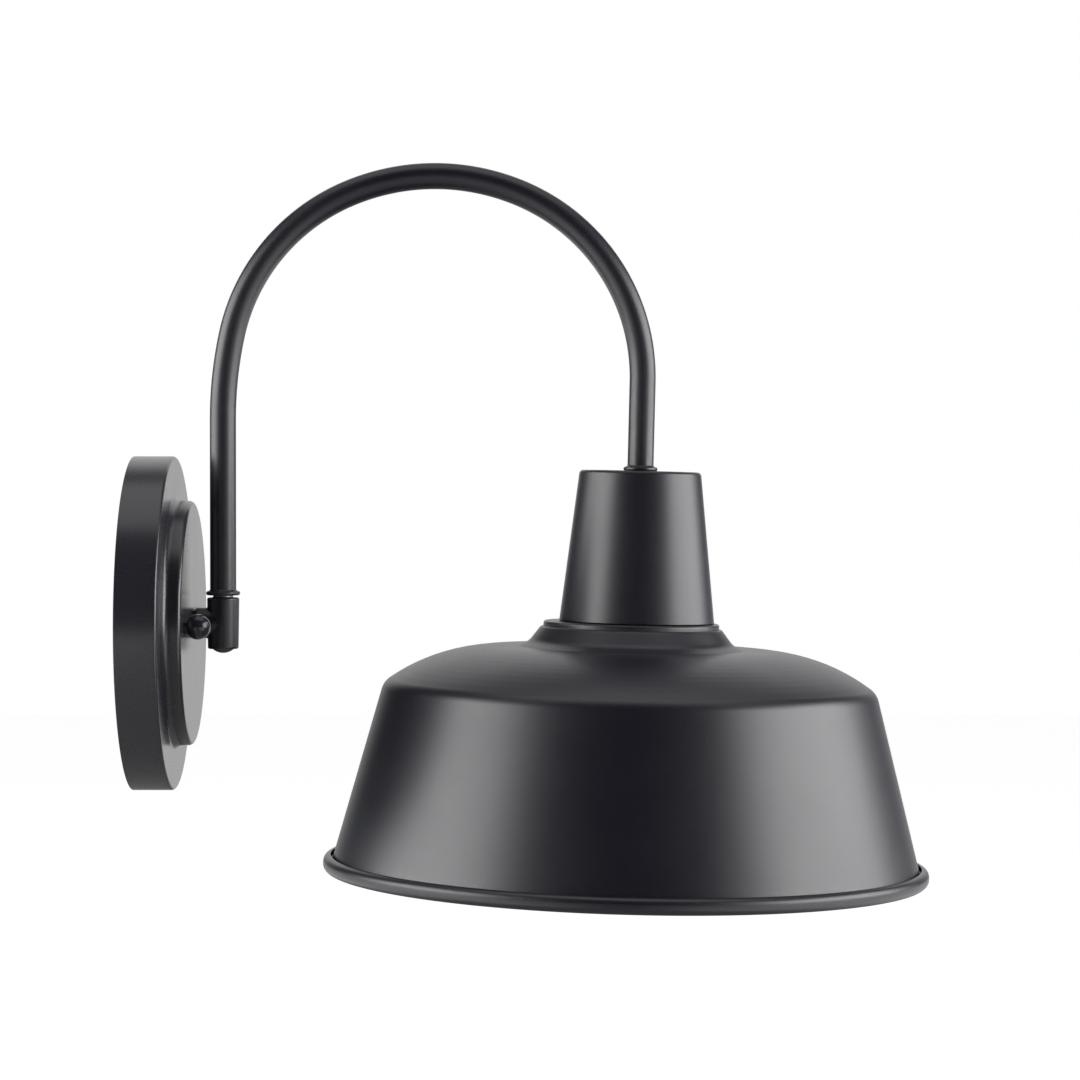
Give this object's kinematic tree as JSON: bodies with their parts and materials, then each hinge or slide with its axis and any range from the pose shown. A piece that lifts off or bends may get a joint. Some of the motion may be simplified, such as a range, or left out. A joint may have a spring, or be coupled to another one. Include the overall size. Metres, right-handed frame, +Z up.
{
  "type": "outdoor wall lantern",
  "caption": "Black gooseneck wall lantern: round moulded canopy, arched tube arm that swivels on a drilled elbow, tapered socket cup and wide spun shade with a rolled rim.",
  "frame": {"origin": "centre of the canopy's back plane, on the wall", "axes": "+Y into the wall, so the lantern stands out along -Y; +Z up; X along the wall"},
  "size_m": [0.301, 0.3947, 0.3581],
  "materials": {
    "black_coat": "satin black powder coat",
    "zinc_steel": "zinc plated, dull",
    "dark_plug": "satin dark grey",
    "brass": "bright",
    "porcelain": "glazed",
    "black_rubber": "matt foam and jacket",
    "black_plastic": "moulded",
    "orange_plastic": "moulded",
    "green_steel": "green passivated",
    "bulb_diffuser": "frosted white",
    "bulb_white": "satin white"
  },
  "bodies": {
    "wall_mount": {"canopy": "black_coat", "wall_gasket": "black_rubber", "mounting_strap": "zinc_steel", "canopy_studs": "zinc_steel", "stud_lock_nuts": "zinc_steel", "ball_nuts": "black_coat", "ground_screw": "green_steel", "elbow": "black_coat", "canopy_nipple": "zinc_steel", "nipple_washer": "zinc_steel", "nipple_nut": "zinc_steel", "elbow_plug": "dark_plug", "wall_cable": "black_rubber", "cable_cores": "black_plastic", "wire_connectors": "orange_plastic"},
    "arm": {"swivel_nipple": "zinc_steel", "swivel_ring": "black_coat", "arm_tube": "black_coat", "arm_cable": "black_rubber", "head_nipple": "zinc_steel", "cup_ring": "black_coat", "socket_cup": "black_coat", "lock_washer": "zinc_steel", "head_nut": "zinc_steel", "socket_bracket": "zinc_steel", "bracket_screws": "zinc_steel", "lampholder": "porcelain", "screw_shell": "brass", "centre_contact": "brass", "terminal_screws": "brass", "socket_leads": "black_plastic", "shade_ring": "black_plastic", "shade": "black_coat", "rim_wire": "black_coat"},
    "bulb": {"bulb_globe": "bulb_diffuser", "bulb_housing": "bulb_white", "led_board": "bulb_white", "bulb_cap": "zinc_steel", "bulb_insulator": "black_plastic", "bulb_contact": "zinc_steel"}
  },
  "joints": [
    {"name": "arm_swivel", "type": "hinge", "parent": "wall_mount", "child": "arm", "pos_m": [0, -0.0439, 0.0127], "axis": [0, 0, 1], "range_deg": [-45, 45]},
    {"name": "bulb_unscrew", "type": "slide", "parent": "arm", "child": "bulb", "axis": [0, 0.0244, -0.9997], "range_m": [0, 0.12]}
  ]
}
